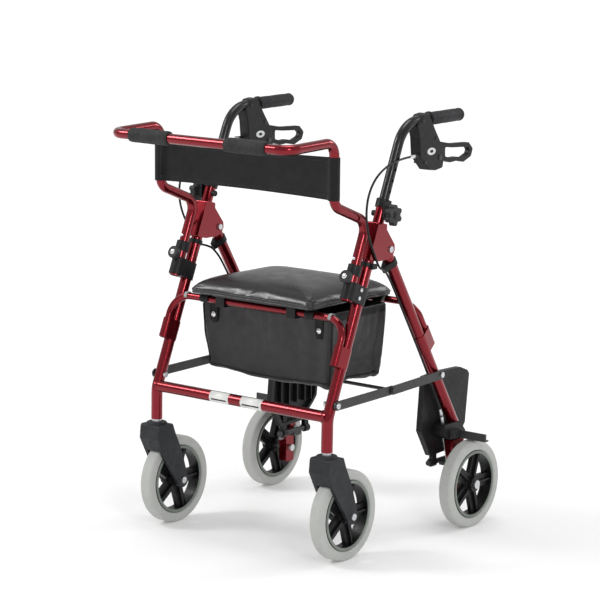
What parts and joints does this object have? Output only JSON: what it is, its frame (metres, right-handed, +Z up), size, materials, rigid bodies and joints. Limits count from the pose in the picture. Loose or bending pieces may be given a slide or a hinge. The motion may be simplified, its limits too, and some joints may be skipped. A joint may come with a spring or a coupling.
{
  "type": "rollator walker",
  "caption": "Folding four-wheeled rollator with seat, storage bag, removable push bar with back band, stowed footplates and loop-lever hand brakes.",
  "frame": {"origin": "on the ground below the middle of the overall box, midway between left and right", "axes": "+X to the right of a person looking along +Y, -Y the caster and push bar end, +Y the rear wheel and handle end where the user walks, +Z up"},
  "size_m": [0.668, 0.74, 0.9555],
  "materials": {
    "red_frame": "metallic ruby red lacquer on steel tube",
    "tyre": "light grey solid polyurethane",
    "wheel_plastic": "black moulded nylon",
    "fork_plastic": "charcoal glass-filled nylon, fine texture",
    "zinc_steel": "bright zinc plated fasteners",
    "black_tube": "black powder coat on tube",
    "grip_rubber": "soft black rubber",
    "black_plastic": "black moulded plastic",
    "chrome": "polished",
    "cable_jacket": "black vinyl cable jacket",
    "black_steel": "dark grey powder coat",
    "vinyl": "black upholstery vinyl, fine grain",
    "nylon": "black coated woven nylon",
    "foam": "black closed-cell foam"
  },
  "bodies": {
    "front_frame": {"front_leg_left": "red_frame", "front_leg_right": "red_frame", "front_crossbar": "red_frame", "hinge_brackets": "red_frame", "seat_front_tube": "red_frame", "seat_front_sockets": "red_frame", "backrest_sockets": "red_frame", "socket_clamps": "black_plastic", "tube_collars": "black_plastic", "frame_fasteners": "zinc_steel", "storage_bag": "nylon"},
    "rear_frame": {"rear_leg_left": "red_frame", "rear_leg_right": "red_frame", "seat_rear_tube": "red_frame", "rear_leg_brackets": "red_frame", "rear_fasteners": "zinc_steel", "rear_clamps": "black_plastic", "footplate_hinges": "black_steel", "lower_cable_left": "cable_jacket", "lower_cable_right": "cable_jacket"},
    "seat": {"seat_cushion": "vinyl", "seat_board": "black_plastic"},
    "backrest": {"backrest_frame": "red_frame", "backrest_band": "nylon", "push_grips": "foam"},
    "front_braces": {"brace_front_links": "black_steel"},
    "rear_braces": {"brace_rear_links": "black_steel"},
    "caster_right": {"caster_fork_right": "fork_plastic", "caster_hardware_right": "zinc_steel"},
    "front_wheel_right": {"front_tyre_right": "tyre", "front_hub_right": "wheel_plastic"},
    "rear_wheel_right": {"rear_tyre_right": "tyre", "rear_hub_right": "wheel_plastic"},
    "brake_shoe_right": {"brake_shoe_right": "black_steel"},
    "footplate_right": {"footplate_right": "black_plastic"},
    "height_knob_right": {"height_knob_right": "black_plastic"},
    "backrest_knob_right": {"backrest_knob_right": "black_plastic"},
    "snap_button_right": {"snap_button_right": "chrome"},
    "handle_right": {"handle_tube_right": "black_tube", "hand_grip_right": "grip_rubber", "brake_housing_right": "black_plastic", "upper_cable_right": "cable_jacket"},
    "brake_lever_right": {"brake_lever_right": "black_plastic"},
    "caster_left": {"caster_fork_left": "fork_plastic", "caster_hardware_left": "zinc_steel"},
    "front_wheel_left": {"front_tyre_left": "tyre", "front_hub_left": "wheel_plastic"},
    "rear_wheel_left": {"rear_tyre_left": "tyre", "rear_hub_left": "wheel_plastic"},
    "brake_shoe_left": {"brake_shoe_left": "black_steel"},
    "footplate_left": {"footplate_left": "black_plastic"},
    "height_knob_left": {"height_knob_left": "black_plastic"},
    "backrest_knob_left": {"backrest_knob_left": "black_plastic"},
    "snap_button_left": {"snap_button_left": "chrome"},
    "handle_left": {"handle_tube_left": "black_tube", "hand_grip_left": "grip_rubber", "brake_housing_left": "black_plastic", "upper_cable_left": "cable_jacket"},
    "brake_lever_left": {"brake_lever_left": "black_plastic"}
  },
  "joints": [
    {"name": "fold", "type": "hinge", "parent": "front_frame", "child": "rear_frame", "pos_m": [0, -0.013, 0.667], "axis": [-1, 0, 0], "range_deg": [0, 27], "deforming": ["storage_bag", "lower_cable_left", "lower_cable_right"]},
    {"name": "seat_flip", "type": "hinge", "parent": "front_frame", "child": "seat", "pos_m": [0, -0.14653, 0.527], "axis": [1, 0, 0], "range_deg": [0, 68]},
    {"name": "backrest_lift", "type": "slide", "parent": "front_frame", "child": "backrest", "axis": [0, 0.3778, 0.9259], "range_m": [0, 0.06]},
    {"name": "front_brace_swing", "type": "hinge", "parent": "front_frame", "child": "front_braces", "pos_m": [0, -0.193, 0.35], "axis": [1, 0, 0], "range_deg": [0, 39]},
    {"name": "rear_brace_swing", "type": "hinge", "parent": "rear_frame", "child": "rear_braces", "pos_m": [0, 0.186, 0.361], "axis": [-1, 0, 0], "range_deg": [0, 45]},
    {"name": "caster_swivel_right", "type": "hinge", "parent": "front_frame", "child": "caster_right", "pos_m": [0.242, -0.205, 0.22], "axis": [0, 0, 1], "continuous": true},
    {"name": "front_wheel_spin_right", "type": "hinge", "parent": "caster_right", "child": "front_wheel_right", "pos_m": [0.242, -0.144, 0.1], "axis": [1, 0, 0], "continuous": true},
    {"name": "rear_wheel_spin_right", "type": "hinge", "parent": "rear_frame", "child": "rear_wheel_right", "pos_m": [0.288, 0.27, 0.1], "axis": [1, 0, 0], "continuous": true},
    {"name": "handle_height_right", "type": "slide", "parent": "front_frame", "child": "handle_right", "axis": [0, 0.3778, 0.9259], "range_m": [-0.023, 0.092], "deforming": ["upper_cable_right"]},
    {"name": "brake_lever_right", "type": "hinge", "parent": "handle_right", "child": "brake_lever_right", "pos_m": [0.242, 0.166, 0.866], "axis": [1, 0, 0], "range_deg": [0, 16], "stiffness_Nm_per_rad": 1.2, "springref_deg": -5.73},
    {"name": "brake_shoe_right", "type": "hinge", "parent": "rear_frame", "child": "brake_shoe_right", "pos_m": [0.26, 0.24, 0.214], "axis": [-1, 0, 0], "range_deg": [0, 5]},
    {"name": "footplate_fold_right", "type": "hinge", "parent": "rear_frame", "child": "footplate_right", "pos_m": [0.217, 0.262, 0.146], "axis": [0, -1, 0], "range_deg": [0, 90]},
    {"name": "height_knob_turn_right", "type": "hinge", "parent": "front_frame", "child": "height_knob_right", "pos_m": [0.262, -0.03197, 0.745], "axis": [1, 0, 0], "continuous": true},
    {"name": "backrest_knob_turn_right", "type": "hinge", "parent": "front_frame", "child": "backrest_knob_right", "pos_m": [0.242, -0.14751, 0.62067], "axis": [0, -0.9259, 0.3778], "continuous": true},
    {"name": "snap_button_press_right", "type": "slide", "parent": "backrest", "child": "snap_button_right", "axis": [0, 0.9259, -0.3778], "range_m": [0, 0.003], "stiffness_N_per_m": 400},
    {"name": "caster_swivel_left", "type": "hinge", "parent": "front_frame", "child": "caster_left", "pos_m": [-0.242, -0.205, 0.22], "axis": [0, 0, 1], "continuous": true},
    {"name": "front_wheel_spin_left", "type": "hinge", "parent": "caster_left", "child": "front_wheel_left", "pos_m": [-0.242, -0.144, 0.1], "axis": [1, 0, 0], "continuous": true},
    {"name": "rear_wheel_spin_left", "type": "hinge", "parent": "rear_frame", "child": "rear_wheel_left", "pos_m": [-0.288, 0.27, 0.1], "axis": [1, 0, 0], "continuous": true},
    {"name": "handle_height_left", "type": "slide", "parent": "front_frame", "child": "handle_left", "axis": [0, 0.3778, 0.9259], "range_m": [-0.023, 0.092], "deforming": ["upper_cable_left"]},
    {"name": "brake_lever_left", "type": "hinge", "parent": "handle_left", "child": "brake_lever_left", "pos_m": [-0.242, 0.166, 0.866], "axis": [1, 0, 0], "range_deg": [0, 16], "stiffness_Nm_per_rad": 1.2, "springref_deg": -5.73},
    {"name": "brake_shoe_left", "type": "hinge", "parent": "rear_frame", "child": "brake_shoe_left", "pos_m": [-0.26, 0.24, 0.214], "axis": [-1, 0, 0], "range_deg": [0, 5]},
    {"name": "footplate_fold_left", "type": "hinge", "parent": "rear_frame", "child": "footplate_left", "pos_m": [-0.217, 0.262, 0.146], "axis": [0, 1, 0], "range_deg": [0, 90]},
    {"name": "height_knob_turn_left", "type": "hinge", "parent": "front_frame", "child": "height_knob_left", "pos_m": [-0.262, -0.03197, 0.745], "axis": [-1, 0, 0], "continuous": true},
    {"name": "backrest_knob_turn_left", "type": "hinge", "parent": "front_frame", "child": "backrest_knob_left", "pos_m": [-0.242, -0.14751, 0.62067], "axis": [0, -0.9259, 0.3778], "continuous": true},
    {"name": "snap_button_press_left", "type": "slide", "parent": "backrest", "child": "snap_button_left", "axis": [0, 0.9259, -0.3778], "range_m": [0, 0.003], "stiffness_N_per_m": 400}
  ],
  "couplings": [
    {"joint": "front_brace_swing", "follows": "fold", "ratio": 1.402},
    {"joint": "rear_brace_swing", "follows": "fold", "ratio": 1.637},
    {"joint": "brake_shoe_right", "follows": "brake_lever_right", "ratio": 0.3125},
    {"joint": "brake_shoe_left", "follows": "brake_lever_left", "ratio": 0.3125}
  ]
}
